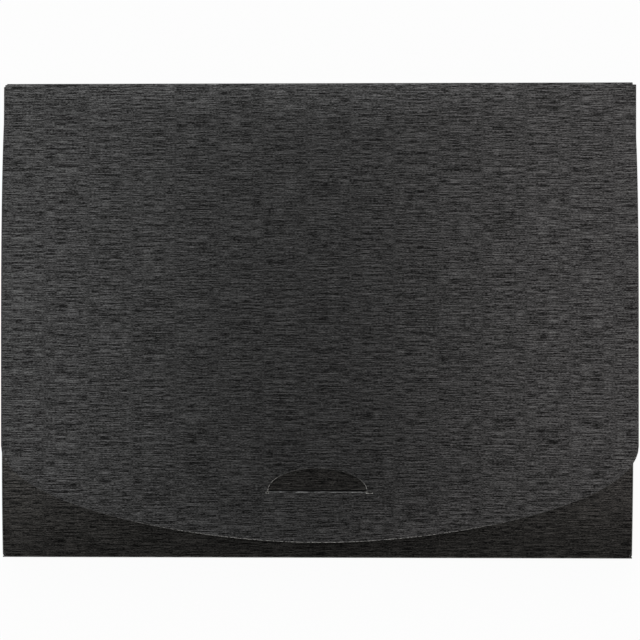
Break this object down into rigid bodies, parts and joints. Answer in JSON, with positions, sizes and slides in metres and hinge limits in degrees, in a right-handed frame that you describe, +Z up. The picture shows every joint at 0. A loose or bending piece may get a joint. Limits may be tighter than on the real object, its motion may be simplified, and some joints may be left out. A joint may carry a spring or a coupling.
{
  "type": "box file",
  "caption": "Flat folded-card document box for A4 sheets, closed by a wide round-ended flap whose half-moon tongue tucks into a slit in the front panel.",
  "frame": {"origin": "under the middle of the whole part, on the surface that the back panel lies on", "axes": "+X along the top crease, to the right when the flap is seen from above; +Y from the bottom wall to the top wall; +Z up, out of the flap"},
  "size_m": [0.3206, 0.239, 0.0289],
  "materials": {
    "case_card": "satin",
    "top_wall_card": "satin",
    "flap_card": "satin"
  },
  "bodies": {
    "case": {"case": "case_card"},
    "top_wall": {"top_wall": "top_wall_card"},
    "flap": {"flap": "flap_card"}
  },
  "joints": [
    {"name": "top_wall_hinge", "type": "hinge", "parent": "case", "child": "top_wall", "pos_m": [0, 0.1192, 0.0003], "axis": [-1, 0, 0], "range_deg": [0, 90]},
    {"name": "flap_hinge", "type": "hinge", "parent": "top_wall", "child": "flap", "pos_m": [0, 0.1192, 0.0286], "axis": [-1, 0, 0], "range_deg": [0, 90]}
  ]
}
